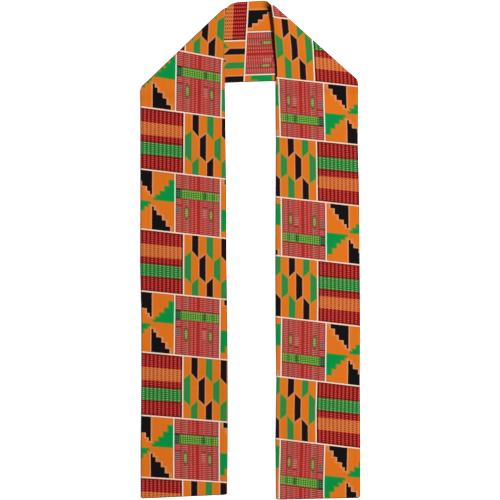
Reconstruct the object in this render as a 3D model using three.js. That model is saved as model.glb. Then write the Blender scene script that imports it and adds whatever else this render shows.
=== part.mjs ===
import * as THREE from "three";

// A kente scarf: one long band of two printed cotton layers, sewn back to back and turned.
// It lies flat with its two panels side by side. At each upper corner the band folds diagonally,
// so the short neck stretch lies under the panels and shows the back cloth.
// Units are millimetres: +Z is up, +Y runs from the two ends to the neck, and z = 0 is the surface.
// "outer" is the edge along the panels' far sides and the neck's lower side, "inner" the other edge.

const CLOTH = 1; // thickness of one layer
const LAYER_GAP = 0.3; // air between the two layers
const FOLD_RADIUS = 1.5; // of the middle of the band, round each diagonal fold
const FOLD_STEPS = 6; // flats in the half turn of a fold
const FOLD_CORNER = 4; // how far the crease draws back from each of its ends
const RAMP_CLEARANCE = 5; // from the neck's lower edge to the top of the ramp beside it
const RAMP_LENGTH = 20; // over which a panel comes down from the neck to the surface
const RAMP_STEPS = 4;
const OVERLAP_STEPS = 8; // lengths of a panel between the ramp and its fold
const NECK_STEPS = 10; // lengths of the neck stretch
const NECK_ARCH = 7.2; // rise of the neck's lower edge at its middle
const NECK_TOP = 440.3; // y of the neck's upper edge
const TOP_SQUARENESS = 8; // 2 would arch the upper edge, more holds it straight up to the folds
const CORNER_RADIUS = 6; // of the two corners at each end
const CORNER_STEPS = 3;

const BAND_HALF = CLOTH + LAYER_GAP / 2;
const LOW = BAND_HALF; // height of the band's middle where it lies on the surface
const HIGH = LOW + 2 * FOLD_RADIUS; // and where it lies over the neck
const CREASE_REACH = FOLD_RADIUS + BAND_HALF; // from a fold's axis to its crease seen from above

// Each panel: the y of its end at both edges, the x of both edges along its length, its crease as
// seen from above, and how late its inner edge leans away from the tabled x to the crease.
const LEFT = {
  end: { outer: -436.8, inner: -430.2 },
  edges: [
    { y: -403, outer: -193.2, inner: -39.9 },
    { y: -335, outer: -193.2, inner: -39.3 },
    { y: -230, outer: -192.1, inner: -39.2 },
    { y: -124, outer: -192.1, inner: -40 },
    { y: -17, outer: -194.3, inner: -41.6 },
    { y: 88, outer: -193.8, inner: -41.8 },
    { y: 194, outer: -193.8, inner: -43.2 },
    { y: 245, outer: -194, inner: -43.6 },
    { y: 319, outer: -194, inner: -44.6 },
    { y: 342, outer: -194, inner: -45.9 },
    { y: 372, outer: -194, inner: -46.6 },
    { y: 412, outer: -194, inner: -45.9 },
  ],
  crease: { outer: [-194.5, 286.6], inner: [-43.4, 431.3] },
  lean: 8,
};
const RIGHT = {
  end: { outer: -435.8, inner: -438.8 },
  edges: [
    { y: -403, outer: 194.6, inner: 45.2 },
    { y: -335, outer: 194.6, inner: 44.4 },
    { y: -230, outer: 193.6, inner: 46 },
    { y: -124, outer: 194.4, inner: 44.5 },
    { y: -17, outer: 193.4, inner: 44.2 },
    { y: 88, outer: 192.8, inner: 44.6 },
    { y: 194, outer: 190, inner: 45.3 },
    { y: 245, outer: 190.6, inner: 44.6 },
    { y: 296, outer: 190.6, inner: 44.4 },
    { y: 316, outer: 190.6, inner: 46.2 },
    { y: 332, outer: 190.6, inner: 46.2 },
    { y: 348, outer: 190.6, inner: 44.8 },
    { y: 366, outer: 190.6, inner: 44.4 },
    { y: 390, outer: 190.6, inner: 42.9 },
    { y: 413, outer: 190.6, inner: 41.2 },
  ],
  crease: { outer: [191.1, 300], inner: [38.6, 436.2] },
  lean: 8,
};

// A straight cut across the band at one height. The normal points from back cloth to face cloth.
function section(outer, inner, z, normal = new THREE.Vector3(0, 0, 1)) {
  return {
    outer: new THREE.Vector3(outer.x, outer.y, z),
    inner: new THREE.Vector3(inner.x, inner.y, z),
    normal,
  };
}

function between(a, b, share) {
  return {
    outer: a.outer.clone().lerp(b.outer, share),
    inner: a.inner.clone().lerp(b.inner, share),
  };
}

// The fold's axis lies under its crease by the reach of the cloth that wraps it.
function foldAxis({ crease }) {
  const outer = new THREE.Vector2(...crease.outer);
  const inner = new THREE.Vector2(...crease.inner);
  const along = inner.clone().sub(outer).normalize();
  const side = Math.sign(along.x);
  const outward = new THREE.Vector2(-along.y * side, along.x * side);
  const inset = outward.clone().multiplyScalar(-CREASE_REACH);
  return { outer: outer.add(inset), inner: inner.add(inset), along, outward };
}

const leftAxis = foldAxis(LEFT);
const rightAxis = foldAxis(RIGHT);

// The neck's lower edge, at a share of the way from the left fold to the right one.
function neckLowerEdge(share) {
  const edge = leftAxis.outer.clone().lerp(rightAxis.outer, share);
  edge.y += NECK_ARCH * (1 - (2 * share - 1) ** 2);
  return edge;
}

// A point on one edge of a panel at any y: the x runs straight between rows and stays put past them.
function edgePoint(edges, side, y) {
  const row = edges.find((next) => next.y >= y) ?? edges.at(-1);
  const before = edges[Math.max(edges.indexOf(row) - 1, 0)];
  const share = row === before ? 0 : (y - before.y) / (row.y - before.y);
  const held = Math.min(Math.max(share, 0), 1);
  return new THREE.Vector2(THREE.MathUtils.lerp(before[side], row[side], held), y);
}

// The cut end and its two rounded corners.
function endSections({ end, edges }) {
  return Array.from({ length: CORNER_STEPS + 1 }, (_, step) => {
    const turn = (step / CORNER_STEPS) * (Math.PI / 2);
    const along = CORNER_RADIUS * (1 - Math.cos(turn));
    const inset = CORNER_RADIUS * (1 - Math.sin(turn));
    const outer = edgePoint(edges, "outer", end.outer + along);
    const inner = edgePoint(edges, "inner", end.inner + along);
    const inwards = Math.sign(inner.x - outer.x) * inset;
    outer.x += inwards;
    inner.x -= inwards;
    return section(outer, inner, LOW);
  });
}

// From the end up to the fold: flat on the surface, up the ramp, then flat over the neck.
function panelSections(panel) {
  const axis = foldAxis(panel);
  const width = rightAxis.outer.x - leftAxis.outer.x;
  const beside = edgePoint(panel.edges, "inner", axis.outer.y);
  const crossing = neckLowerEdge((beside.x - leftAxis.outer.x) / width);
  const rampTop = {
    outer: edgePoint(panel.edges, "outer", axis.outer.y - RAMP_CLEARANCE),
    inner: edgePoint(panel.edges, "inner", crossing.y - RAMP_CLEARANCE),
  };
  const down = new THREE.Vector2(0, -RAMP_LENGTH);
  const rampFoot = { outer: rampTop.outer.clone().add(down), inner: rampTop.inner.clone().add(down) };
  const flat = panel.edges
    .filter(({ y }) => y < rampFoot.outer.y)
    .map(({ y, outer, inner }) => section(new THREE.Vector2(outer, y), new THREE.Vector2(inner, y), LOW));
  const ramp = Array.from({ length: RAMP_STEPS + 1 }, (_, step) => {
    const share = step / RAMP_STEPS;
    const { outer, inner } = between(rampFoot, rampTop, share);
    const climb = THREE.MathUtils.smoothstep(share, 0, 1);
    return section(outer, inner, THREE.MathUtils.lerp(LOW, HIGH, climb));
  });

  const overlap = Array.from({ length: OVERLAP_STEPS - 1 }, (_, step) => {
    const share = (step + 1) / OVERLAP_STEPS;
    const { outer, inner } = between(rampTop, axis, share);
    const { x } = edgePoint(panel.edges, "inner", inner.y);
    inner.x = THREE.MathUtils.lerp(x, axis.inner.x, share ** panel.lean);
    return section(outer, inner, HIGH);
  });
  return [...endSections(panel), ...flat, ...ramp, ...overlap];
}

// The half turn of a fold, from the panel over the neck down to the neck stretch.
function foldSections(panel) {
  const { outer, inner, along, outward } = foldAxis(panel);
  return Array.from({ length: FOLD_STEPS + 1 }, (_, step) => {
    const turn = Math.PI * (0.5 - step / FOLD_STEPS);
    const reach = outward.clone().multiplyScalar(FOLD_RADIUS * Math.cos(turn));
    const drawn = along.clone().multiplyScalar(FOLD_CORNER * Math.cos(turn));
    const normal = new THREE.Vector3(outward.x, outward.y, 0).multiplyScalar(Math.cos(turn));
    normal.z = Math.sin(turn);
    const z = (LOW + HIGH) / 2 + FOLD_RADIUS * Math.sin(turn);
    return section(outer.clone().add(reach).add(drawn), inner.clone().add(reach).sub(drawn), z, normal);
  });
}

// The neck stretch between the two folds: its lower edge arches, its upper edge is nearly straight.
function neckSections() {
  const topRise = NECK_TOP - (leftAxis.inner.y + rightAxis.inner.y) / 2;
  return Array.from({ length: NECK_STEPS - 1 }, (_, step) => {
    const share = (step + 1) / NECK_STEPS;
    const inner = leftAxis.inner.clone().lerp(rightAxis.inner, share);
    inner.y += topRise * (1 - (2 * share - 1) ** TOP_SQUARENESS);
    return section(neckLowerEdge(share), inner, LOW, new THREE.Vector3(0, 0, -1));
  });
}

// The whole band, from the left end over the neck to the right end.
function bandSections() {
  return [
    ...panelSections(LEFT),
    ...foldSections(LEFT),
    ...neckSections(),
    ...foldSections(RIGHT).reverse(),
    ...panelSections(RIGHT).reverse(),
  ];
}

// One layer as a closed solid, between two distances from the band's middle along the normal.
function layerGeometry(sections, near, far) {
  const positions = sections.flatMap(({ outer, inner, normal }) =>
    [
      [outer, near],
      [outer, far],
      [inner, far],
      [inner, near],
    ].flatMap(([edge, distance]) => edge.clone().addScaledVector(normal, distance).toArray()),
  );
  const ring = 4;
  const last = (sections.length - 1) * ring;
  const triangles = [0, 3, 2, 0, 2, 1, last, last + 1, last + 2, last, last + 2, last + 3];
  for (let start = 0; start < last; start += ring) {
    for (let corner = 0; corner < ring; corner += 1) {
      const a = start + corner;
      const b = start + ((corner + 1) % ring);
      triangles.push(a, b, b + ring, a, b + ring, a + ring);
    }
  }
  const geometry = new THREE.BufferGeometry();
  geometry.setAttribute("position", new THREE.Float32BufferAttribute(positions, 3));
  geometry.setIndex(triangles);
  const faceted = geometry.toNonIndexed();
  faceted.computeVertexNormals();
  return faceted;
}

function layer(name, sections, near, far, color) {
  const material = new THREE.MeshStandardMaterial({ color, roughness: 0.85, metalness: 0 });
  const mesh = new THREE.Mesh(layerGeometry(sections, near, far), material);
  mesh.name = name;
  return mesh;
}

const band = bandSections();
const scarf = new THREE.Group();
scarf.add(layer("face_cloth", band, LAYER_GAP / 2, BAND_HALF, 0xd66a1e));
scarf.add(layer("back_cloth", band, -BAND_HALF, -LAYER_GAP / 2, 0xb6421f));

export default scarf;
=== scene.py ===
import math

import bpy
import numpy as np
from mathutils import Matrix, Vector


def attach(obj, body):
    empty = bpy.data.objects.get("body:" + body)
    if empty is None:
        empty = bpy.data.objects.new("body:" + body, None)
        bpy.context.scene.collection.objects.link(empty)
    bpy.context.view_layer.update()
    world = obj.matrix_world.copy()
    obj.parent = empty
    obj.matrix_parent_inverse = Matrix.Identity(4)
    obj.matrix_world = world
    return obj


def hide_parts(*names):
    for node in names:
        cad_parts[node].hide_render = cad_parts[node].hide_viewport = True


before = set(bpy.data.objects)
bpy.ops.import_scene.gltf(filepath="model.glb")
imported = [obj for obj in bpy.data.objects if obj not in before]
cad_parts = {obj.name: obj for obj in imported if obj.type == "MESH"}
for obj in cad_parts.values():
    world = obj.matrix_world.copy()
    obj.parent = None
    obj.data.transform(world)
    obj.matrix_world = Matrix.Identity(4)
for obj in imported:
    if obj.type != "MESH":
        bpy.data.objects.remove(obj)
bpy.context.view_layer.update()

# A printed kente scarf laid flat: one long band of two cotton layers, sewn back to back and turned.
# Both ends point down the picture and the neck stretch lies under the two diagonal folds.
# Sizes are millimetres until a mesh, light or camera is made, where MM turns them into metres.

MM = 0.001

BAND_WIDTH = 150.0
BAND_HALF = 1.15  # from the middle of the band to its outside
FOLD_RADIUS = 1.5  # of the middle of the band, where a fold is pressed
PANEL_LIFT = 2 * FOLD_RADIUS  # of a panel where it lies over the neck
RAMP_CLEARANCE = 5.0  # from the neck's lower edge to the top of the ramp beside it
RAMP_LENGTH = 20.0  # over which a panel comes down from the neck to the surface
NECK_ARCH = 6.2  # rise of the neck's lower edge at its middle
NECK_TOP = 440.3  # y of the neck's upper edge
TOP_SQUARENESS = {"left": 5.4, "right": 11}  # 2 would arch the upper edge, more holds it straight
CORNER_RADIUS = 4.5  # of the two corners at each sewn end

EDGE_ROLL = 1.8  # how far in from the seam the turned edge is round
SEAM_WIDTH = 7.5  # the allowances inside the band lift it this far in from the edge
SEAM_FADE = 3.5  # over which that lift ends
MIDDLE_HALF = 0.9  # half thickness of the band past the allowances
SEAM_GAP = 0.05  # from the band's middle to the inside of each layer at the seam
CLOTH_THICK = 0.45
SKIN = 0.02  # the least thickness of a layer, and how far it stays inside the solids

# Where the cloth gets painted shade, and how strongly: along its rolled edges, on its creases, and where
# the neck tucks in under the right fold.
PAINTED_SHADE_WIDTH = 2.6
EDGE_PAINTED_SHADE = 0.5
CREASE_PAINTED_SHADE = 0.8
CREASE_TILTS = (0.03, 0.38)  # how far the cloth has turned from flat where that starts and is full
TUCK_PAINTED_SHADE = 0.95
TUCK_REACH = 18.0

# Each side: the y of its end at both edges, the x of both edges along the panel, and its crease as
# seen from above. "lean" is a power: the larger, the later the inner edge leans to the crease. "nip" is
# how far the crease draws in at its inner end, and "loop" the radius of the loop that it keeps there.
OUTER, INNER = 0, 1
LEFT = {
    "end": {"outer": -436.8, "inner": -430.2},
    "edges": [  # y, outer x, inner x
        (-403, -193.2, -39.9), (-335, -193.2, -39.3), (-230, -192.1, -39.2), (-124, -192.1, -40.0),
        (-17, -194.3, -41.6), (88, -193.8, -41.8), (194, -193.8, -43.2), (245, -194.0, -43.6),
        (319, -194.0, -44.6), (342, -194.0, -45.9), (372, -194.0, -46.6), (412, -194.0, -45.9),
    ],
    "crease": {"outer": (-194.9, 287.0), "inner": (-44.2, 431.1)},
    "lean": 8,
    "nip": 1.0,
    "loop": 1.7,
}
RIGHT = {
    "end": {"outer": -435.8, "inner": -438.8},
    "edges": [
        (-403, 194.6, 45.2), (-335, 194.6, 44.4), (-230, 193.6, 46.0), (-124, 194.4, 44.5),
        (-17, 193.4, 44.2), (88, 192.8, 44.6), (194, 190.0, 45.3), (245, 190.6, 44.6),
        (296, 190.6, 44.4), (316, 190.6, 46.2), (332, 190.6, 45.6), (348, 190.6, 44.2),
        (366, 190.6, 42.9), (390, 190.6, 41.7), (413, 190.6, 40.5),
    ],
    "crease": {"outer": (191.5, 300.4), "inner": (38.9, 436.6)},
    "lean": 8,
    "nip": 0.6,
    "loop": 3.3,
}

# A crease's loop, nip and drawn corners fade along it as a power of the share of the width.
LOOP_POWER = 3
NIP_POWER = 9
CORNER_POWER = 12
FOLD_CORNER = 4.0  # how far the crease draws back from each of its ends

# Distances of the mesh lines from the long edges and from the sewn ends, then the lengths of the
# mesh rows, and their counts in a fold and a ramp.
ROLL_LINES = EDGE_ROLL * (1 - np.cos(np.radians([0, 22.5, 45, 67.5, 90])))
SEAM_LINES = [2.6, 4.0, 5.6, 7.0, 8.2, 9.4, 11.0, 13.6]
MIDDLE_LINES = np.linspace(17.5, BAND_WIDTH / 2, 14)
END_LINES = [2.5, 3.4, CORNER_RADIUS, 6.5, 9.0]
PANEL_STEP = 4.6
OVERLAP_STEP = 4.0
NECK_STEP = 4.3
FOLD_STEPS = 14
RAMP_STEPS = 8

# Gentle rise and fall of cloth that was pressed and laid by hand.
SWELLS = [  # wavelength, heading in degrees, half of the rise
    (173.0, 78.0, 0.16),
    (97.0, 101.0, 0.13),
    (61.0, 55.0, 0.07),
    (44.0, 128.0, 0.05),
]

UP = np.array([0.0, 0.0, 1.0])
FAR = 1000.0  # from a sewn end, for a cut that is nowhere near one


def across_shares():
    """Shares of the width where the mesh has a column, close together at the rolled edges."""
    half = np.concatenate([ROLL_LINES, SEAM_LINES, MIDDLE_LINES]) / BAND_WIDTH
    return np.concatenate([half, 1 - half[-2::-1]])


WIDTHS = across_shares()
EDGE_REACH = np.minimum(WIDTHS, 1 - WIDTHS)[None, :] * BAND_WIDTH


def mix(a, b, share):
    return a + (b - a) * share


def smooth(share):
    held = np.clip(share, 0, 1)
    return held * held * (3 - 2 * held)


def rise(value, start, end):
    """0 up to the start and 1 from the end on, with a smooth change between them."""
    return smooth((value - start) / (end - start))


def edge_x(side, column, y):
    """The x of one edge of a panel at any y, which stays put past the tabled rows."""
    rows = np.array(side["edges"], float)
    return np.interp(y, rows[:, 0], rows[:, 1 + column])


def fold_line(side):
    """The crease as seen from above, the way along it and the way out of it."""
    outer = np.array(side["crease"]["outer"], float)
    inner = np.array(side["crease"]["inner"], float)
    along = (inner - outer) / np.linalg.norm(inner - outer)
    sign = np.sign(along[0])
    outward = np.array([-along[1] * sign, along[0] * sign])
    return outer, inner, along, outward


def fold_radius(side):
    """The fold's radius for each column: pressed at the outer end, a small loop at the inner end."""
    return mix(FOLD_RADIUS, side["loop"], WIDTHS**LOOP_POWER)


def straight(outer, inner):
    return mix(np.array(outer, float), np.array(inner, float), WIDTHS[:, None])


def axis_points(side):
    """The fold's axis, which lies under its crease by the reach of the cloth that wraps it."""
    outer, inner, _, outward = fold_line(side)
    inset = fold_radius(side) + BAND_HALF + side["nip"] * WIDTHS**NIP_POWER
    return straight(outer, inner) - outward * inset[:, None]


def neck_lower_edge(share):
    edge = mix(axis_points(LEFT)[0], axis_points(RIGHT)[0], share)
    return edge + np.array([0, NECK_ARCH * (1 - (2 * share - 1) ** 2)])


def section(points, height, normal, end=FAR):
    """One cut across the band: places, normals, and how far it is from the band's end."""
    points = np.column_stack([points, np.broadcast_to(height, len(points))])
    return {"at": points, "normal": np.broadcast_to(normal, points.shape), "end": end}


def end_sections(side):
    """The sewn end: its corners are round and the cloth rolls over to the seam."""
    found = []
    for reach in [*ROLL_LINES, *END_LINES]:
        left = max(CORNER_RADIUS - reach, 0)
        inset = CORNER_RADIUS - math.sqrt(CORNER_RADIUS**2 - left**2)
        outer_y = side["end"]["outer"] + reach
        inner_y = side["end"]["inner"] + reach
        outer = edge_x(side, OUTER, outer_y)
        inner = edge_x(side, INNER, inner_y)
        inwards = np.sign(inner - outer) * inset
        points = straight((outer + inwards, outer_y), (inner - inwards, inner_y))
        found.append(section(points, BAND_HALF, UP, reach))
    return found


def flat_sections(side, start, foot):
    """From the sewn end to the ramp's foot, on the surface."""
    count = round(np.mean(foot[:, 1] - start[:, 1]) / PANEL_STEP)
    for share in np.arange(1, count) / count:
        ys = mix(start[:, 1], foot[:, 1], share)
        xs = mix(edge_x(side, OUTER, ys[0]), edge_x(side, INNER, ys[-1]), WIDTHS)
        yield section(np.column_stack([xs, ys]), BAND_HALF, UP)


def ramp_ends(side):
    """The corners of the ramp's foot and top, just below the neck's lower edge."""
    axis = axis_points(side)
    left, right = axis_points(LEFT)[0], axis_points(RIGHT)[0]
    beside = edge_x(side, INNER, axis[0][1])
    crossing = neck_lower_edge((beside - left[0]) / (right[0] - left[0]))
    outer_y = axis[0][1] - RAMP_CLEARANCE
    inner_y = crossing[1] - RAMP_CLEARANCE
    top = straight((edge_x(side, OUTER, outer_y), outer_y), (edge_x(side, INNER, inner_y), inner_y))
    return top - [0, RAMP_LENGTH], top


def ramp_sections(foot, top):
    for share in np.arange(RAMP_STEPS + 1) / RAMP_STEPS:
        yield section(mix(foot, top, share), BAND_HALF + PANEL_LIFT * smooth(share), UP)


def overlap_sections(side, top):
    """Over the neck, from the ramp's top to the fold, rising to the fold's loop."""
    axis = axis_points(side)
    count = round((axis[-1][1] - top[-1][1]) / OVERLAP_STEP)
    for share in np.arange(1, count) / count:
        points = mix(top, axis, share)
        tabled = edge_x(side, INNER, points[-1][1])
        inner_x = mix(tabled, axis[-1][0], share ** side["lean"])
        points[:, 0] = mix(points[0][0], inner_x, WIDTHS)
        opened = 2 * (fold_radius(side) - FOLD_RADIUS) * smooth(share)
        yield section(points, BAND_HALF + PANEL_LIFT + opened, UP)


def panel_sections(side):
    """From the end up to the fold."""
    foot, top = ramp_ends(side)
    end = end_sections(side)
    start = end[-1]["at"][:, :2]
    flat = flat_sections(side, start, foot)
    return [*end, *flat, *ramp_sections(foot, top), *overlap_sections(side, top)]


def fold_sections(side):
    """The half turn of a fold, from the panel over the neck down to the neck stretch."""
    _, _, along, outward = fold_line(side)
    axis = axis_points(side)
    radius = fold_radius(side)
    drawn = FOLD_CORNER * ((1 - WIDTHS) ** CORNER_POWER - WIDTHS**CORNER_POWER)
    found = []
    for share in np.arange(FOLD_STEPS + 1) / FOLD_STEPS:
        turn = math.pi * (0.5 - share)
        points = axis + outward * (radius * math.cos(turn))[:, None]
        points = points + along * (drawn * math.cos(turn))[:, None]
        heights = BAND_HALF + radius * (1 + math.sin(turn))
        normal = np.array([*(outward * math.cos(turn)), math.sin(turn)])
        cut = section(points, heights, normal)
        cut["rolled"] = axis + outward * (radius * math.pi * share)[:, None]
        found.append(cut)
    return found


def neck_sections():
    left, right = axis_points(LEFT), axis_points(RIGHT)
    top_rise = NECK_TOP - (left[-1][1] + right[-1][1]) / 2
    count = round((right[0][0] - left[0][0]) / NECK_STEP)
    found = []
    for share in np.arange(1, count) / count:
        inner = mix(left[-1], right[-1], share)
        squareness = TOP_SQUARENESS["left" if share < 0.5 else "right"]
        inner[1] += top_rise * (1 - abs(2 * share - 1) ** squareness)
        found.append(section(straight(neck_lower_edge(share), inner), BAND_HALF, -UP))
    return found


def band():
    """The band's middle surface, as arrays by section and column, with where each part of it starts.

    "rolled" is the plan with the folds rolled out flat, and "along" the way along the band.
    """
    parts = [
        panel_sections(LEFT),
        fold_sections(LEFT),
        neck_sections(),
        fold_sections(RIGHT)[::-1],
        panel_sections(RIGHT)[::-1],
    ]
    cuts = [cut for part in parts for cut in part]
    later = np.cumsum([len(part) for part in parts[:-1]])
    at = np.array([cut["at"] for cut in cuts])
    normals = np.array([cut["normal"] for cut in cuts])
    lengths = np.linalg.norm(np.diff(at, axis=0), axis=2)
    return {
        "at": at,
        "normal": normals,
        "flatness": np.abs(normals[..., 2]),
        "end": np.array([cut["end"] for cut in cuts])[:, None],
        "rolled": np.array([cut.get("rolled", cut["at"][:, :2]) for cut in cuts]),
        "along": np.vstack([np.zeros(len(WIDTHS)), np.cumsum(lengths, axis=0)]),
        "starts": dict(zip(("left_fold", "neck", "right_fold", "right_panel"), later)),
    }


def swell(at):
    """The cloth's gentle rise off the surface, never below it."""
    height_at = np.zeros(at.shape[:2])
    for length, heading, height in SWELLS:
        way = math.radians(heading)
        phase = (at[..., 0] * math.cos(way) + at[..., 1] * math.sin(way)) * math.tau / length
        height_at += height * (1 + np.sin(phase + length))
    return height_at


# The print. A row of the repeat is 108 mm long along the band. Even rows hold a stepped star and a
# red block, odd rows a striped block and a block of split hexagons. On each panel the rows slant a
# little, so every line between two rows is given by its y at the panel's middle and its slope. One
# line is also pulled up or down beside the inner edge: which one, how far, and between which
# distances in from the panel's middle. Near the fold the print is stretched beside that edge.

ROW = 108.0
LEFT_PRINT = {
    "middle": -117.7,
    "rows": [  # row number, y, slope
        (9, -618.0, -0.06), (8, -511.0, -0.06), (7, -403.4, -0.06), (6, -295.7, -0.08),
        (5, -184.8, -0.094), (4, -78.0, -0.10), (3, 30.5, -0.112), (2, 135.5, -0.118),
        (1, 244.1, -0.133), (0, 351.2, -0.19), (-1, 454.0, -0.24),
    ],
    "columns": [  # y, x of the line between the star and the red block
        (-408, -134.6), (-345, -134.9), (-218, -134.3), (-90, -133.0), (-27, -133.0), (100, -132.6),
        (228, -132.0), (300, -130.9), (360, -129.8), (400, -127.5),
    ],
    "way": 1.0,  # print for each millimetre to the right, below 0 where it runs to the left
    "pull": (-1, 10.0, 43.0, 57.0),
    "stretch": 1.7,
}
RIGHT_PRINT = {
    "middle": 118.8,
    "rows": [
        (-11, -554.0, -0.12), (-10, -446.8, -0.12), (-9, -339.7, -0.12), (-8, -229.6, -0.12),
        (-7, -124.6, -0.117), (-6, -16.2, -0.114), (-5, 87.2, -0.111), (-4, 194.4, -0.103),
        (-3, 297.0, -0.108), (-2, 400.8, -0.17), (-1, 506.0, -0.22),
    ],
    "columns": [
        (-408, 129.7), (-345, 131.6), (-280, 131.3), (-217, 132.9), (-90, 134.4), (37, 133.8),
        (164, 132.5), (228, 131.1), (291, 129.1), (355, 126.1), (383, 123.4), (411, 120.6),
        (436, 116.6),
    ],
    "way": -1.02,
    "pull": (-2, -2.6, 30.0, 74.0),
    "stretch": 0.9,
}
STRETCH_ACROSS = (55.0, 81.0)  # from the line between the star and the red block
STRETCH_Y = (325.0, 355.0)
NECK_LINE = {"row": 1, "top": (-3.5, 438.4), "bottom": (-10.6, 297.8)}  # between two rows
NECK_COLUMN = (-3.0, 385.9, 0.03)  # x and y of a point on the star and red line, and its slope
NECK_PINCH = 1.06  # the neck is a little narrower than the panels, and its print with it
NECK_BUNCH = 1.05  # to the right of its line the neck's print is bunched by this much
STEP_RED_LINE = 63.2  # from the print's edge to the line between the stepped star and the red block
STRIPE_HEX_LINE = 78.8
RED_STEP_LINE = 143.4
UNIT = 160.2  # the repeat across the band


def panel_print(points, lines):
    """Print places (across, along in rows) of plan points on a panel."""
    x, y = points[..., 0], points[..., 1]
    rows = np.array(lines["rows"])
    heights = rows[:, 1] + rows[:, 2] * (x[..., None] - lines["middle"])
    row, distance, start, end = lines["pull"]
    from_middle = x - lines["middle"]
    inwards = np.abs(from_middle) * (np.sign(x) != np.sign(from_middle))
    heights[..., rows[:, 0] == row] += (distance * rise(inwards, start, end))[..., None]
    pairs = zip(y.ravel(), heights.reshape(-1, len(rows)))
    along = np.reshape([np.interp(at, line, rows[:, 0]) for at, line in pairs], y.shape)
    columns = np.array(lines["columns"])
    away = (x - np.interp(y, columns[:, 0], columns[:, 1])) * lines["way"]
    away -= lines["stretch"] * rise(away, *STRETCH_ACROSS) * rise(y, *STRETCH_Y)
    return np.stack([STEP_RED_LINE + away, along], axis=-1)


def neck_print(points):
    """Print places of plan points on the neck stretch of the back cloth."""
    x, y = points[..., 0], points[..., 1]
    (top_x, top_y), (bottom_x, bottom_y) = NECK_LINE["top"], NECK_LINE["bottom"]
    line_x = mix(top_x, bottom_x, (y - top_y) / (bottom_y - top_y))
    column_x, column_y, slope = NECK_COLUMN
    line_y = column_y + slope * (x - column_x)
    past = x - line_x
    row = NECK_LINE["row"] - past * np.where(past > 0, NECK_BUNCH, 1) / ROW
    return np.stack([STEP_RED_LINE + NECK_PINCH * (line_y - y), row], axis=-1)


def face_print(shape):
    """The face cloth: as seen on both panels, and carried through under the neck."""
    neck, right_fold = shape["starts"]["neck"], shape["starts"]["right_fold"]
    left = panel_print(shape["rolled"][:neck], LEFT_PRINT)
    right = panel_print(shape["rolled"][right_fold:], RIGHT_PRINT)
    reach = shape["along"][neck - 1 : right_fold + 1]
    share = (reach - reach[0]) / (reach[-1] - reach[0])
    between = mix(left[-1], right[0], share[1:-1, :, None])
    return np.concatenate([left, between, right])


def back_print(shape):
    """The back cloth: as seen on the neck stretch, and carried on under both panels."""
    first, past = shape["starts"]["left_fold"], shape["starts"]["right_panel"]
    along = shape["along"]
    seen = neck_print(shape["at"][first:past, :, :2])
    found = np.empty((*along.shape, 2))
    found[first:past] = seen
    found[:first, :, 0] = seen[0, :, 0]
    found[:first, :, 1] = seen[0, :, 1] + (along[first] - along[:first]) / ROW
    found[past:, :, 0] = seen[-1, :, 0]
    found[past:, :, 1] = seen[-1, :, 1] - (along[past:] - along[past - 1]) / ROW
    return found


def roll(reach):
    """The round edge's height, from 0 at the seam to 1 where the roll ends."""
    left = 1 - np.clip(reach / EDGE_ROLL, 0, 1)
    return np.sqrt(np.clip(1 - left * left, 0, 1))


def layer_depths(shape):
    """Outside and inside of a layer, measured from the band's middle."""
    past = smooth((np.minimum(EDGE_REACH, shape["end"]) - SEAM_WIDTH) / SEAM_FADE)
    full = mix(BAND_HALF - SKIN, MIDDLE_HALF, past)
    outside = mix(SEAM_GAP + SKIN, full, roll(EDGE_REACH) * roll(shape["end"]))
    inside = np.minimum(mix(SEAM_GAP, MIDDLE_HALF - CLOTH_THICK, past), outside - SKIN)
    return outside, inside


def painted_shade_amount(shape):
    """How much painted shade the cloth gets: near 1 where it turns over or tucks in, and 0 on the flat.
    """
    edge = EDGE_PAINTED_SHADE * (1 - smooth(np.minimum(EDGE_REACH, shape["end"]) / PAINTED_SHADE_WIDTH))
    crease = CREASE_PAINTED_SHADE * rise(1 - shape["flatness"], *CREASE_TILTS)
    away = np.linalg.norm(shape["at"][..., :2] - axis_points(RIGHT)[-1], axis=-1)
    face_down = shape["normal"][..., 2] < -0.5
    tuck = TUCK_PAINTED_SHADE * (1 - smooth(away / TUCK_REACH)) * face_down
    return np.maximum.reduce([edge, crease, tuck])


# Each layer's flat layout for the bake: the shown side in wide lengths of the band side by side, the
# hidden side in narrow ones, and the rim's faces in a strip of their own.
BAKE_COLUMNS = 3
SHOWN_BAKE = {"start": 0.006, "width": 0.244, "pitch": 0.256}
HIDDEN_BAKE = {"start": 0.776, "width": 0.062, "pitch": 0.072}
BAKE_MARGIN = 0.004
BAKE_FILL = 0.99
RIM_START, RIM_WIDTH, RIM_FILL = 0.992, 0.006, 0.9


def bake_lengths(shape, start, width, pitch):
    """The corners of one side's faces in the flat layout."""
    middle = shape["along"].mean(axis=1)
    limits = np.linspace(0, middle[-1], BAKE_COLUMNS + 1)
    halfway = (middle[:-1] + middle[1:]) / 2
    column = np.clip(np.searchsorted(limits, halfway) - 1, 0, BAKE_COLUMNS - 1)
    scale = (1 - 2 * BAKE_MARGIN) * BAKE_FILL / limits[1]
    u = start + column[:, None] * pitch + WIDTHS[None, :] * width
    found = []
    for ends in (middle[:-1], middle[1:]):
        v = BAKE_MARGIN + scale * (ends - limits[column])
        found.append(np.stack([u, np.broadcast_to(v[:, None], u.shape)], axis=-1))
    near, far = found
    corners = np.stack([near[:, :-1], near[:, 1:], far[:, 1:], far[:, :-1]], axis=2)
    return corners.reshape(-1, 4, 2)


def bake_layout(shape, side, count):
    """The corners of all faces, in the order of shell_faces."""
    shown = bake_lengths(shape, **SHOWN_BAKE)
    hidden = bake_lengths(shape, **HIDDEN_BAKE)
    grids = [shown, hidden[:, ::-1]] if side > 0 else [shown[:, ::-1], hidden]
    rims = count - 2 * len(shown)
    low = np.stack([np.full(rims, RIM_START), np.arange(rims) / rims], axis=-1)
    square = np.array([[0, 0], [1, 0], [1, 1], [0, 1]]) * [RIM_WIDTH, RIM_FILL / rims]
    return np.concatenate([*grids, low[:, None, :] + square])


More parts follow.
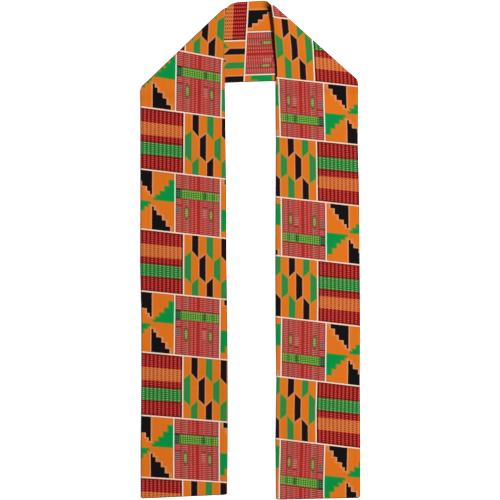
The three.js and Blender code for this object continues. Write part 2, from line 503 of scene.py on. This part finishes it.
def shell_faces(rows, columns, side):
    """Faces of a closed shell: the outside grid, the inside grid and the narrow rim between them."""
    count = rows * columns
    grid = np.arange(count).reshape(rows, columns)
    quads = np.stack([grid[:-1, :-1], grid[:-1, 1:], grid[1:, 1:], grid[1:, :-1]], axis=-1).reshape(-1, 4)
    found = [quads, quads[:, ::-1] + count]
    for line, flip in ((grid[:, 0], False), (grid[:, -1], True), (grid[0], True), (grid[-1], False)):
        rim = np.stack([line[:-1], line[1:], line[1:] + count, line[:-1] + count], axis=-1)
        found.append(rim[:, ::-1] if flip else rim)
    faces = np.concatenate(found)
    return faces if side > 0 else faces[:, ::-1]


def add_map(mesh, name, places):
    mesh.uv_layers.new(name=name).uv.foreach_set("vector", places.astype(np.float32).ravel())


def cloth(name, shape, side, prints):
    """One layer as a closed thin mesh on one side of the band's middle, 1 for face or -1 for back."""
    lifted = shape["at"] + UP * (swell(shape["at"]) * shape["flatness"])[..., None]
    layers = [lifted + shape["normal"] * (side * depth)[..., None] for depth in layer_depths(shape)]
    points = np.concatenate([layer.reshape(-1, 3) for layer in layers]) * MM
    rows, columns = shape["at"].shape[:2]
    faces = shell_faces(rows, columns, side)

    mesh = bpy.data.meshes.new(name)
    mesh.from_pydata(points.tolist(), [], faces.tolist())
    mesh.shade_smooth()
    add_map(mesh, "Print", prints.reshape(-1, 2)[faces.ravel() % (rows * columns)] * [MM, MM * ROW])
    add_map(mesh, "OFBake", bake_layout(shape, side, len(faces)))
    # The painted shade, as a share for each point, which the material reads.
    painted_shade = mesh.attributes.new("painted_shade", "FLOAT", "POINT")
    painted_shade.data.foreach_set("value", np.tile(painted_shade_amount(shape).ravel(), 2).astype(np.float32))

    made = bpy.data.objects.new(name, mesh)
    bpy.context.scene.collection.objects.link(made)
    return made


class Field:
    """A number that varies over the cloth, as the output of a shader node."""

    def __init__(self, tree, socket):
        self.tree = tree
        self.socket = socket

    def math(self, operation, *others, clamp=False):
        node = self.tree.nodes.new("ShaderNodeMath")
        node.operation = operation
        node.use_clamp = clamp
        for slot, value in zip(node.inputs, (self, *others)):
            plug(self.tree, slot, value)
        return Field(self.tree, node.outputs[0])

    def __add__(self, other):
        return self.math("ADD", other)

    def __sub__(self, other):
        return self.math("SUBTRACT", other)

    def __mul__(self, other):
        return self.math("MULTIPLY", other)

    def fract(self):
        return self.math("FRACT")

    def abs(self):
        return self.math("ABSOLUTE")

    def least(self, other):
        return self.math("MINIMUM", other)

    def most(self, other):
        return self.math("MAXIMUM", other)

    def scaled(self, factor, shift=0.0):
        return self.math("MULTIPLY_ADD", factor, shift)

    def is_odd(self):
        """1 where the whole part is odd, and 0 where it is even."""
        return self.math("FLOOR").scaled(0.5).fract().above(0.25, 0.1)

    def below(self, edge, soft=0.35):
        """1 under the edge and 0 over it, with a soft change that many millimetres wide."""
        return self.math("MULTIPLY_ADD", -1 / soft, 0.5 + edge / soft, clamp=True)

    def above(self, edge, soft=0.35):
        return self.math("MULTIPLY_ADD", 1 / soft, 0.5 - edge / soft, clamp=True)

    def beside(self, middle, half, soft=0.35):
        """1 within the half width of a middle, and 0 outside it."""
        return self.scaled(1, -middle).abs().below(half, soft)

    def between(self, low, high, soft=0.35):
        return self.beside((low + high) / 2, (high - low) / 2, soft)


def plug(tree, slot, value):
    if isinstance(value, Field):
        tree.links.new(value.socket, slot)
    elif isinstance(value, bpy.types.NodeSocket):
        tree.links.new(value, slot)
    else:
        slot.default_value = value


def linear(colour):
    """A colour as seen on screen, 0 to 255, as the linear value that nodes take."""
    parts = [part / 255 for part in colour]
    curved = [part / 12.92 if part <= 0.04045 else ((part + 0.055) / 1.055) ** 2.4 for part in parts]
    return [*curved, 1.0]


def blend(tree, share, a, b):
    """Colour a where share is 0 and b where it is 1. A plain tuple is a screen colour."""
    node = tree.nodes.new("ShaderNodeMix")
    node.data_type = "RGBA"
    plug(tree, node.inputs["Factor"], share)
    for slot, colour in ((node.inputs[6], a), (node.inputs[7], b)):
        plug(tree, slot, linear(colour) if isinstance(colour, tuple) else colour)
    return node.outputs[2]


def multiply(tree, a, b):
    """Two colours or vectors multiplied part by part."""
    node = tree.nodes.new("ShaderNodeVectorMath")
    node.operation = "MULTIPLY"
    plug(tree, node.inputs[0], a)
    plug(tree, node.inputs[1], b)
    return node.outputs[0]


def held_ramp(tree, place, length, stops):
    """Linear colours along a place: each (start, colour) holds until the next start."""
    node = tree.nodes.new("ShaderNodeValToRGB")
    ramp = node.color_ramp
    ramp.interpolation = "CONSTANT"
    ramp.elements.remove(ramp.elements[1])
    for index, (start, colour) in enumerate(stops):
        position = min(start / length, 1.0)
        element = ramp.elements[0] if index == 0 else ramp.elements.new(position)
        element.position = position
        element.color = colour
    plug(tree, node.inputs[0], place.scaled(1 / length))
    return node.outputs[0]


def bands(tree, place, length, stops):
    return held_ramp(tree, place, length, [(start, linear(colour)) for start, colour in stops])


def stair(tree, place, length, heights):
    """A stair: each (end, height) holds up to its end, and past the last it is 0."""
    tallest = max(height for _, height in heights)
    starts = [0.0, *(end for end, _ in heights)]
    shares = [*(height / tallest for _, height in heights), 0.0]
    stops = [(start, (share, share, share, 1)) for start, share in zip(starts, shares)]
    return Field(tree, held_ramp(tree, place, length, stops)).scaled(tallest)


def dashes(place, pitch, share, soft=0.12):
    """1 on dashes and 0 between them, along a place."""
    return place.scaled(1 / pitch).fract().beside(0.5, share / 2, soft)


WOVEN_SWING = (1.15, 1.7, 1.7)  # how much more each part of a colour swings than its contrast


def woven(tree, colour, dash, contrast):
    """A colour made lighter on dashes and darker between them, more so in green and blue."""
    swing = dash.scaled(2, -1) * contrast
    factors = tree.nodes.new("ShaderNodeCombineXYZ")
    for slot, factor in zip(factors.inputs, WOVEN_SWING):
        plug(tree, slot, swing.scaled(factor, 1.0))
    return multiply(tree, colour, factors.outputs[0])


def woven_plain(tree, colour, dash, contrast):
    return woven(tree, blend(tree, 0.0, colour, colour), dash, contrast)


ORANGE = (227, 116, 27)
GREEN = (0, 148, 68)
BLACK = (18, 15, 17)
BROWN = (60, 20, 12)
DARK_BROWN = (46, 10, 4)
PEACH_LINE = (255, 222, 200)
MINT_LINE = (206, 246, 216)
PEACH_EDGE = (222, 156, 108)
OLIVE_EDGE = (178, 144, 54)
OLIVE_GREEN = (84, 136, 30)

STRIPE_PITCH = 7.0
STRIPE_FIRST = 6.35  # from the line at the block's right to the middle of its nearest column
STRIPE_WIDTH = 3.3
STRIPE_SLANT = 0.016  # the bands across the stripes drop a little towards the outer edge
STRIPE_PIVOT = 40.0  # across, where that slant leaves them in place
STRIPE_STARTS = (0, 24.8, 46.4, 59.2, 80.2)  # crimson, orange, crimson, green, crimson
STRIPE_GROUND = {"crimson": (128, 10, 6), "orange": (188, 94, 38), "green": (34, 114, 42)}
STRIPE_COLUMNS = {"crimson": (188, 62, 57), "orange": (221, 123, 70), "green": (82, 158, 86)}
DASH_PITCH = 3.3
GROUND_CONTRAST, ORANGE_GROUND_DROP = 0.08, 0.55
COLUMN_CONTRAST, DOTTED_EXTRA, ORANGE_COLUMN_DROP = 0.22, 0.44, 0.7
GREEN_BORDERS = ((56.8, 59.2), (80.2, 83.0))  # dark, just outside the green band
GREEN_RIMS = ((59.6, 61.2), (77.6, 79.8))  # pale, just inside it
RIM_GREEN = (190, 196, 140)
LINE_SHADE = 4.6  # how far the dark beside the lines between two rows reaches
STRIPE_SIDE, STRIPE_SIDE_RED = 3.6, (58, 8, 8)  # the dark strip at the block's right
BORDER_SHARE, RIM_SHARE, SHADE_SHARE, SIDE_SHARE = 0.62, 0.26, 0.4, 0.8  # how strongly each is laid on


def stripe_bands(tree, place, colours):
    names = ("crimson", "orange", "crimson", "green", "crimson")
    return bands(tree, place, ROW, [(start, colours[name]) for start, name in zip(STRIPE_STARTS, names)])


def in_either(place, ranges, soft):
    first, second = (place.between(low, high, soft) for low, high in ranges)
    return first.most(second)


def stripes(tree, across, down):
    """Crimson, orange and green bands with lighter columns, every second one dotted."""
    column = across.scaled(-1 / STRIPE_PITCH, (STRIPE_HEX_LINE - STRIPE_FIRST) / STRIPE_PITCH + 0.5)
    in_column = column.fract().beside(0.5, STRIPE_WIDTH / 2 / STRIPE_PITCH, 0.2)
    band_place = down + across.scaled(STRIPE_SLANT, -STRIPE_PIVOT * STRIPE_SLANT)
    in_orange = band_place.between(STRIPE_STARTS[1], STRIPE_STARTS[2])
    dash = dashes(down, DASH_PITCH, 0.5)
    ground_contrast = in_orange.scaled(-ORANGE_GROUND_DROP, GROUND_CONTRAST)
    ground = woven(tree, stripe_bands(tree, band_place, STRIPE_GROUND), dash, ground_contrast)
    contrast = column.is_odd().scaled(DOTTED_EXTRA, COLUMN_CONTRAST)
    contrast = contrast * in_orange.scaled(-ORANGE_COLUMN_DROP, 1.0)
    raised = woven(tree, stripe_bands(tree, band_place, STRIPE_COLUMNS), dash, contrast)
    colour = blend(tree, in_column, ground, raised)

    colour = blend(tree, in_either(band_place, GREEN_BORDERS, 1.6) * BORDER_SHARE, colour, BROWN)
    rims = in_either(band_place, GREEN_RIMS, 1.2) * in_column
    colour = blend(tree, rims * RIM_SHARE, colour, RIM_GREEN)
    beside_line = down.below(LINE_SHADE, 3.0).most(down.above(ROW - LINE_SHADE, 3.0))
    colour = blend(tree, beside_line * SHADE_SHARE, colour, BROWN)
    strip = across.above(STRIPE_HEX_LINE - STRIPE_SIDE, 0.8)
    return blend(tree, strip * SIDE_SHARE, colour, STRIPE_SIDE_RED)


HEX_START = 79.8
HEX_PITCH = 12.9
HEX_ZIGZAG = 6.0  # how far the tips of the hexagons reach over and under their zigzag line
HEX_UPPER = (0.075, 33.8)  # slope across and place of the upper zigzag line
HEX_LOWER = (-0.115, 82.2)
HEX_MIDDLE = 57.0  # halfway between them
HEX_FILLS = {"o": ORANGE, "g": (26, 138, 64), "k": (26, 17, 19)}
HEX_LINES = {"p": PEACH_EDGE, "v": OLIVE_EDGE}
FILL_ROWS = ("okogok", "gokogo", "ogokog")  # over, between and under the zigzag lines
BORDER_ROWS = ("pppvvpp", "vvppvvv", "vvvppvv")
ZIGZAG_ROWS = ("vppvvp", "vvppvv")  # the upper and the lower zigzag line
ZIGZAG_SLANT = 0.72  # distance from a slanted line for each millimetre along the band
HEX_LINE_HALF = 1.0
MESH_GREEN = (72, 134, 92)
MESH_PITCH = 2.4
DARK_RED = (54, 8, 2)
# Distances and how softly each ends: of the mesh from a hexagon's middle and from its border, and of
# the other colour along the border of a green and of a dark half.
MESH_HALF, MESH_INSIDE, GREEN_RIM, DARK_RIM = (2.4, 2.5), (3.0, 1.5), (1.9, 2.4), (2.0, 2.0)
MESH_SHARE, HEX_RIM_SHARE = 0.7, 0.9
LINE_FILL_SHARE = 0.3  # of the fill that shows through the lines round the hexagons


def cells(tree, place, codes, colours, first=0.0):
    """Colours in bands of a hexagon's width along a place, one for each letter of the codes."""
    starts = [0.0] + [first + HEX_PITCH * index for index in range(1, len(codes))]
    stops = [(start, colours[code]) for start, code in zip(starts, codes)]
    return bands(tree, place, HEX_PITCH * len(codes), stops)


def hexagon_rows(tree, place, upper, lower, rows, colours, first=0.0):
    over, between, under = (cells(tree, place, codes, colours, first) for codes in rows)
    colour = blend(tree, upper.below(0), between, over)
    return blend(tree, lower.above(0), colour, under)


def hexagons(tree, across, down):
    """Tall hexagons in brick order, each split into a dark or green left half and an orange one."""
    place = across.scaled(1, -HEX_START)
    cell = place.scaled(1 / HEX_PITCH)
    zigzag = cell.scaled(0.5).fract().scaled(2, -1).abs().scaled(2 * HEX_ZIGZAG, -HEX_ZIGZAG)
    upper = down - (zigzag + place.scaled(*HEX_UPPER))
    lower = down - (place.scaled(*HEX_LOWER) - zigzag)
    colour = hexagon_rows(tree, place, upper, lower, FILL_ROWS, HEX_FILLS)

    split = tree.nodes.new("ShaderNodeSeparateColor")
    tree.links.new(colour, split.inputs[0])
    red_part, green_part = Field(tree, split.outputs[0]), Field(tree, split.outputs[1])
    green = (green_part - red_part).above(0.1, 0.1)
    dark = red_part.below(0.05, 0.02) * green.scaled(-1, 1)
    from_middle = cell.fract().scaled(1, -0.5).abs().scaled(HEX_PITCH)
    from_border = from_middle.scaled(-1, HEX_PITCH / 2)
    from_zigzag = upper.abs().least(lower.abs()).scaled(ZIGZAG_SLANT)
    inside = from_border.math("SMOOTH_MIN", from_zigzag, 4.0)
    mesh = from_middle.below(*MESH_HALF) * dashes(down, MESH_PITCH, 0.6) * inside.above(*MESH_INSIDE)
    colour = blend(tree, green * mesh * MESH_SHARE, colour, MESH_GREEN)
    colour = blend(tree, green * inside.below(*GREEN_RIM) * HEX_RIM_SHARE, colour, OLIVE_GREEN)
    colour = blend(tree, dark * inside.below(*DARK_RIM) * HEX_RIM_SHARE, colour, DARK_RED)

    border = hexagon_rows(tree, place, upper, lower, BORDER_ROWS, HEX_LINES, -HEX_PITCH / 2)
    upper_zigzag, lower_zigzag = (cells(tree, place, codes, HEX_LINES) for codes in ZIGZAG_ROWS)
    slanted = blend(tree, down.below(HEX_MIDDLE, 0.1), lower_zigzag, upper_zigzag)
    line = blend(tree, (from_zigzag - from_border).below(0, 0.2), border, slanted)
    softer = blend(tree, LINE_FILL_SHARE, line, colour)
    return blend(tree, from_border.least(from_zigzag).below(HEX_LINE_HALF, 0.8), colour, softer)


STAR_CENTRE = 22.7
STAR_NEXT = 110.0  # across, from where the star belongs to the next repeat
STAR_MIDDLE = 54.6
STAR_REACH = 54.0  # from the middle line to the lines above and below
STAIR_LENGTH = 46.0
BLACK_STAIR = [(3.5, 43.2), (8.6, 37.2), (17.7, 29.2), (24.6, 20.6), (32.2, 10.1)]
GREEN_STAIR = [(2.4, 0.0), (6.4, 6.4), (13.3, 11.8), (21.6, 19.6), (29.5, 29.3), (41.0, 41.2)]
GREEN_GAP = 1.8  # between the middle line and the green
# Each stair is laid down from its halo to its fill: how much larger, softness, share, colour.
BLACK_LAYERS = [
    (4.6, 2.0, 0.3, PEACH_EDGE),
    (2.2, 1.0, 0.75, PEACH_EDGE),
    (0.0, 0.35, 1.0, DARK_BROWN),
    (-1.4, 1.4, 1.0, BLACK),
]
GREEN_LAYERS = [
    (3.2, 2.0, 0.3, (206, 150, 70)),
    (1.6, 1.0, 0.8, (156, 130, 42)),
    (0.0, 0.5, 1.0, OLIVE_GREEN),
    (-1.6, 1.6, 1.0, GREEN),
]
AXIS_HALO, HALO_SHARE = (-2.4, 0.0), 0.8  # pale strip beside the star's axis
CORNER_STREAK, STREAK_SHARE = (-41.0, -37.6), 0.55  # where the outermost green step ends
STREAK_OLIVE = (142, 122, 40)


def black_stair(tree, x, y, grow, soft):
    """1 on the black stairs, drawn so many millimetres larger, and 0 past them."""
    height = stair(tree, x.scaled(1, -grow), STAIR_LENGTH, BLACK_STAIR)
    reach = (y + height).above(STAR_REACH - 0.5 * grow, soft)
    return reach * height.above(1) * x.above(0, 0.2)


def green_stair(tree, x, y, grow, soft):
    height = stair(tree, x.scaled(-1, grow), STAIR_LENGTH, GREEN_STAIR)
    reach = (height - y).above(-0.7 * grow, soft)
    return reach * height.above(1) * x.below(0, 0.2) * y.above(GREEN_GAP - 0.6 * grow, soft)


def star(tree, across, down):
    """The stepped star: black stairs on its axis and green stairs on its middle line, on orange."""
    x = across - across.above(STAR_NEXT, 0.01).scaled(UNIT, STAR_CENTRE)
    y = down.scaled(1, -STAR_MIDDLE)
    x = x * y.math("SIGN")
    y = y.abs()
    halo = x.between(*AXIS_HALO, 1.0) * y.above(6, 4.0)
    colour = blend(tree, halo * HALO_SHARE, ORANGE, PEACH_EDGE)
    streak = x.between(*CORNER_STREAK, 0.8) * y.above(-CORNER_STREAK[0])
    colour = blend(tree, streak * STREAK_SHARE, colour, STREAK_OLIVE)
    for layers, drawn in ((BLACK_LAYERS, black_stair), (GREEN_LAYERS, green_stair)):
        for grow, soft, share, edge in layers:
            colour = blend(tree, drawn(tree, x, y, grow, soft) * share, colour, edge)
    return colour


# Columns of the red block: where each starts from the line at its left, its colour and how strong
# its dashes are. The lime band across the block has columns of its own.
RED_COLUMNS = [
    (0.0, (158, 74, 62), 0.30),
    (3.2, (178, 84, 75), 0.42),
    (4.6, (189, 83, 76), 0.42),
    (11.0, (171, 60, 53), 0.15),
    (13.8, (178, 80, 71), 0.35),
    (15.8, (168, 88, 74), 0.50),
    (21.4, (187, 104, 91), 0.18),
    (24.0, (169, 66, 57), 0.30),
    (26.8, (171, 60, 53), 0.15),
    (29.1, (196, 80, 75), 0.45),
    (32.4, (164, 46, 40), 0.12),
    (35.2, (201, 81, 74), 0.48),
    (38.6, (169, 43, 38), 0.10),
    (44.4, (193, 79, 72), 0.38),
    (48.2, (174, 66, 58), 0.20),
    (50.8, (193, 83, 77), 0.42),
    (54.8, (180, 73, 68), 0.20),
    (58.8, (163, 76, 68), 0.30),
    (61.2, (175, 90, 81), 0.48),
    (65.8, (158, 56, 48), 0.10),
    (68.8, (191, 85, 78), 0.42),
    (74.4, (158, 84, 76), 0.30),
]
LIME_COLUMNS = [
    (0.0, (56, 96, 68), 0.50),
    (8.5, (58, 118, 58), 0.20),
    (12.5, (92, 152, 54), 0.34),
    (49.2, (60, 104, 46), 0.24),
    (55.4, (92, 152, 60), 0.34),
    (65.2, (70, 122, 42), 0.16),
    (68.8, (112, 147, 58), 0.34),
]
RED_DASH_PITCH = 3.3
RED_WIDTH = RED_STEP_LINE - STEP_RED_LINE
LIME_TOP, LIME_BOTTOM = 28.7, 43.9
LIME_BORDER = (1.5, 0.9)  # how far the dark border reaches over and under the lime band
LIME_START = 10.5  # the border is darker up to here
BORDER_BROWN, BORDER_DARK = (112, 48, 26), (44, 16, 18)
LIME_GRID_PITCH, LIME_GRID_CONTRAST = 4.1, 0.34
LIME_DOT_PITCH, LIME_DOTS_FROM, LIME_DOT = 3.5, 12.0, (196, 208, 140)
LIME_RIMS = ((LIME_TOP, LIME_TOP + 1.4), (LIME_BOTTOM - 1.2, LIME_BOTTOM))
RED_PATCHES = [  # across from and to, down from and to, colour, contrast of its dashes, share
    ((1.8, 12.6), (55.2, 58.0), (140, 8, 12), 0.0, 0.85),
    ((49.6, 56.8), (55.2, 58.0), (140, 8, 12), 0.0, 0.85),
    ((2.4, 9.8), (59.5, 73.0), (134, 98, 93), 0.45, 1.0),
    ((49.4, 56.0), (59.5, 75.0), (188, 106, 94), 0.4, 1.0),
]
PILLS = [  # across, down, half width, half height, colour
    (20.7, 69.6, 3.15, 10.2, (134, 168, 84)),
    (63.5, 69.2, 2.9, 9.8, (150, 156, 86)),
]
PILL_ROUNDNESS = 2.6  # 2 would make it an ellipse, more squares it
PILL_CONTRAST = 0.26
PILL_EDGE = (88, 66, 26)
# Where the brown edge and the fill end, and how softly, as a size that is 1 on the pill's outline.
EDGE_SIZE, EDGE_SHARE = (1.75, 0.6), 0.75
FILL_SIZE, FILL_SHARE = (0.60, 0.5), 0.9
LIME_DOT_SHARE = 0.6


def woven_columns(tree, place, dash, columns):
    ground = bands(tree, place, RED_WIDTH, [(start, colour) for start, colour, _ in columns])
    ends = [start for start, _, _ in columns[1:]] + [RED_WIDTH - 0.1]
    contrasts = [(end, contrast) for end, (_, _, contrast) in zip(ends, columns)]
    return woven(tree, ground, dash, stair(tree, place, RED_WIDTH, contrasts))


def lime_band(tree, place, down, dash):
    """The lime band's own colours: a grid of dashes, with pale dots along both rims."""
    lime = woven_columns(tree, place, dash, LIME_COLUMNS)
    lime = woven(tree, lime, dashes(place, LIME_GRID_PITCH, 0.5, 0.5), LIME_GRID_CONTRAST)
    dots = dashes(place, LIME_DOT_PITCH, 0.5, 0.3) * place.above(LIME_DOTS_FROM)
    return blend(tree, dots * in_either(down, LIME_RIMS, 0.35) * LIME_DOT_SHARE, lime, LIME_DOT)


def pill(tree, place, down, dash, colour, row):
    """A small green oval with a brown edge, laid on a colour."""
    middle, height, half_width, half_height, fill = row
    side = place.scaled(1 / half_width, -middle / half_width).abs().math("POWER", PILL_ROUNDNESS)
    top = down.scaled(1 / half_height, -height / half_height).abs().math("POWER", PILL_ROUNDNESS)
    size = side + top
    colour = blend(tree, size.below(*EDGE_SIZE) * EDGE_SHARE, colour, PILL_EDGE)
    filling = woven_plain(tree, fill, dash, PILL_CONTRAST)
    return blend(tree, size.below(*FILL_SIZE) * FILL_SHARE, colour, filling)


def red_block(tree, across, down):
    """Red ground woven with pink dashes, a lime band across it and two green pills below."""
    place = across.scaled(1, -STEP_RED_LINE)
    dash = dashes(down, RED_DASH_PITCH, 0.5)
    colour = woven_columns(tree, place, dash, RED_COLUMNS)
    border = blend(tree, place.below(LIME_START), BORDER_BROWN, BORDER_DARK)
    over, under = LIME_BORDER
    colour = blend(tree, down.between(LIME_TOP - over, LIME_BOTTOM + under), colour, border)
    colour = blend(tree, down.between(LIME_TOP, LIME_BOTTOM), colour, lime_band(tree, place, down, dash))
    for across_range, down_range, fill, contrast, share in RED_PATCHES:
        patch = place.between(*across_range) * down.between(*down_range)
        colour = blend(tree, patch * share, colour, woven_plain(tree, fill, dash, contrast))
    for row in PILLS:
        colour = pill(tree, place, down, dash, colour, row)
    return colour


LINE_HALF = 1.15
LINE_SHADOW, SHADOW_SHARE = 1.2, 0.28  # how far the brown beside a line reaches past it
MINT_REACH = 4.0  # from a line along the band, where green lies beside it and tints it
MINT_ODD, MINT_EVEN = (60, 78), (16, 52)  # down, from and to, in odd and in even rows


def printed_colour(tree, uv):
    """The whole print from the two print coordinates, both in metres."""
    split = tree.nodes.new("ShaderNodeSeparateXYZ")
    tree.links.new(uv, split.inputs[0])
    across = Field(tree, split.outputs[0]).scaled(1 / MM)
    rows = Field(tree, split.outputs[1]).scaled(1 / MM / ROW)
    down = rows.fract().scaled(ROW)
    odd = rows.is_odd()

    in_hexagons = across.above(STRIPE_HEX_LINE, 0.01)
    odd_row = blend(tree, in_hexagons, stripes(tree, across, down), hexagons(tree, across, down))
    in_red = across.between(STEP_RED_LINE, RED_STEP_LINE, 0.01)
    even_row = blend(tree, in_red, star(tree, across, down), red_block(tree, across, down))
    colour = blend(tree, odd, even_row, odd_row)

    from_step_red = across.scaled(1, -STEP_RED_LINE).abs()
    odd_line = across.scaled(1, -STRIPE_HEX_LINE).abs()
    even_line = from_step_red.least(across.scaled(1, -RED_STEP_LINE).abs())
    line = even_line + (odd_line - even_line) * odd
    from_line = line.least(down.least(down.scaled(-1, ROW)))
    shadow = from_line.below(LINE_HALF + LINE_SHADOW, 0.9)
    colour = blend(tree, shadow * SHADOW_SHARE, colour, BROWN)
    mint_odd = odd * odd_line.below(MINT_REACH) * down.between(*MINT_ODD, 6)
    mint_even = odd.scaled(-1, 1) * from_step_red.below(MINT_REACH) * down.between(*MINT_EVEN, 6)
    line_colour = blend(tree, mint_odd + mint_even, PEACH_LINE, MINT_LINE)
    return blend(tree, from_line.below(LINE_HALF, 0.6), colour, line_colour)


THREAD = 0.42  # distance between two threads of the plain weave
WEAVE_DEPTH = 0.06
CLOUD_SCALE = 9.0  # clouds of stronger and weaker dye, for each metre
CLOUD_RANGE = (0.90, 1.08)
STREAK_SCALE = (180.0, 55.0, 1.0)  # finer streaks of warmer and cooler dye
WARM_DYE = (1.04, 0.93, 0.72, 1)
COOL_DYE = (0.96, 1.06, 1.26, 1)
# The brown of the painted shade on edges, creases and the tuck under the right fold.
PAINTED_SHADE_BROWN = (48, 20, 8)


def noise(tree, vector, scale):
    node = tree.nodes.new("ShaderNodeTexNoise")
    node.inputs["Scale"].default_value = scale
    tree.links.new(vector, node.inputs["Vector"])
    return node


def dyed(tree, uv, colour):
    """The print with the slight unevenness of its dye."""
    cloud = noise(tree, tree.nodes.new("ShaderNodeTexCoord").outputs["Object"], CLOUD_SCALE)
    cloud.inputs["Detail"].default_value = 3.0
    strength = tree.nodes.new("ShaderNodeMapRange")
    strength.inputs["To Min"].default_value, strength.inputs["To Max"].default_value = CLOUD_RANGE
    tree.links.new(cloud.outputs["Fac"], strength.inputs["Value"])

    stretched = tree.nodes.new("ShaderNodeMapping")
    stretched.inputs["Scale"].default_value = STREAK_SCALE
    tree.links.new(uv, stretched.inputs["Vector"])
    hue = tree.nodes.new("ShaderNodeMix")
    hue.data_type = "RGBA"
    hue.inputs[6].default_value = WARM_DYE
    hue.inputs[7].default_value = COOL_DYE
    tree.links.new(noise(tree, stretched.outputs[0], 1.0).outputs["Fac"], hue.inputs["Factor"])
    return multiply(tree, multiply(tree, colour, hue.outputs[2]), strength.outputs[0])


def weave(tree, uv):
    """The plain weave's threads as a bumped normal."""
    split = tree.nodes.new("ShaderNodeSeparateXYZ")
    tree.links.new(uv, split.inputs[0])
    turns = math.tau / (THREAD * MM)
    warp, weft = (Field(tree, part).scaled(turns).math("SINE") for part in split.outputs[:2])
    bump = tree.nodes.new("ShaderNodeBump")
    bump.inputs["Strength"].default_value = 0.25
    bump.inputs["Distance"].default_value = WEAVE_DEPTH * MM
    tree.links.new((warp * weft).socket, bump.inputs["Height"])
    return bump.outputs[0]


def cotton(name):
    """Printed plain-weave cotton, darkened with painted shade where the mesh says so."""
    material = bpy.data.materials.new(name)
    material.use_nodes = True
    tree = material.node_tree
    shader = tree.nodes["Principled BSDF"]
    uv = tree.nodes.new("ShaderNodeUVMap")
    uv.uv_map = "Print"
    colour = dyed(tree, uv.outputs[0], printed_colour(tree, uv.outputs[0]))
    # Painted shade: edges, creases and the tuck under the right fold turn brown as if in shadow.
    painted_shade = tree.nodes.new("ShaderNodeAttribute")
    painted_shade.attribute_name = "painted_shade"
    tree.links.new(blend(tree, painted_shade.outputs["Fac"], colour, PAINTED_SHADE_BROWN), shader.inputs["Base Color"])
    tree.links.new(weave(tree, uv.outputs[0]), shader.inputs["Normal"])
    shader.inputs["Roughness"].default_value = 0.9
    shader.inputs["Specular IOR Level"].default_value = 0.08
    return material


# The studio, in metres. The view's centre and width are those of the photograph's frame.
FLOOR_HALF = 4.0
FLOOR_DROP = 0.0002
FLOOR_WHITE = (250, 250, 250)
FLOOR_GLOW = 0.9
LAMPS = [  # name, place, size, power
    ("key", (4.5, 1.2, 4.3), 0.7, 338),
    ("fill", (4.2, 2.7, 4.3), 2.0, 190),
]
WORLD_STRENGTH = 0.09
VIEW_CENTRE = (-0.00035, 0.0016)
VIEW_WIDTH = 0.8825
LENS = 85.0
SENSOR = 36.0


def floor_paper():
    material = bpy.data.materials.new("floor_paper")
    material.use_nodes = True
    shader = material.node_tree.nodes["Principled BSDF"]
    shader.inputs["Base Color"].default_value = linear(FLOOR_WHITE)
    shader.inputs["Roughness"].default_value = 0.9
    shader.inputs["Specular IOR Level"].default_value = 0.2
    shader.inputs["Emission Color"].default_value = (1, 1, 1, 1)
    shader.inputs["Emission Strength"].default_value = FLOOR_GLOW
    return material


def pale_floor():
    """A floor that looks white and lights nothing by its glow."""
    corners = [(x * FLOOR_HALF, y * FLOOR_HALF, 0) for x, y in ((-1, -1), (1, -1), (1, 1), (-1, 1))]
    mesh = bpy.data.meshes.new("floor")
    mesh.from_pydata(corners, [], [(0, 1, 2, 3)])
    mesh.materials.append(floor_paper())
    floor = bpy.data.objects.new("floor", mesh)
    floor.location.z = -FLOOR_DROP
    floor.visible_diffuse = False
    bpy.context.scene.collection.objects.link(floor)


def lamp(name, place, size, power):
    """A soft round lamp that points at the origin."""
    data = bpy.data.lights.new(name, "AREA")
    data.shape = "DISK"
    data.size = size
    data.energy = power
    made = bpy.data.objects.new(name, data)
    made.location = place
    made.rotation_euler = (-Vector(place)).to_track_quat("-Z", "Y").to_euler()
    bpy.context.scene.collection.objects.link(made)


def overhead_camera():
    data = bpy.data.cameras.new("camera")
    data.lens = LENS
    data.sensor_width = SENSOR
    data.clip_end = 100.0
    camera = bpy.data.objects.new("camera", data)
    camera.location = (*VIEW_CENTRE, VIEW_WIDTH * LENS / SENSOR)
    bpy.context.scene.collection.objects.link(camera)
    bpy.context.scene.camera = camera


def studio():
    """A pale floor under soft light from the right, seen from straight above."""
    pale_floor()
    for row in LAMPS:
        lamp(*row)
    world = bpy.data.worlds.new("studio")
    world.use_nodes = True
    background = world.node_tree.nodes["Background"]
    background.inputs["Color"].default_value = (1, 1, 1, 1)
    background.inputs["Strength"].default_value = WORLD_STRENGTH
    bpy.context.scene.world = world
    bpy.context.scene.view_settings.view_transform = "Standard"
    overhead_camera()


def dress(piece, node, slot):
    piece.data.materials.append(cotton(slot))
    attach(piece, "root")
    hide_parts(node)


shape = band()
face = cloth("face_cotton", shape, 1, face_print(shape))
back = cloth("back_cotton", shape, -1, back_print(shape))
dress(face, "face_cloth", "printed_cotton_face")
dress(back, "back_cloth", "printed_cotton_back")

studio()
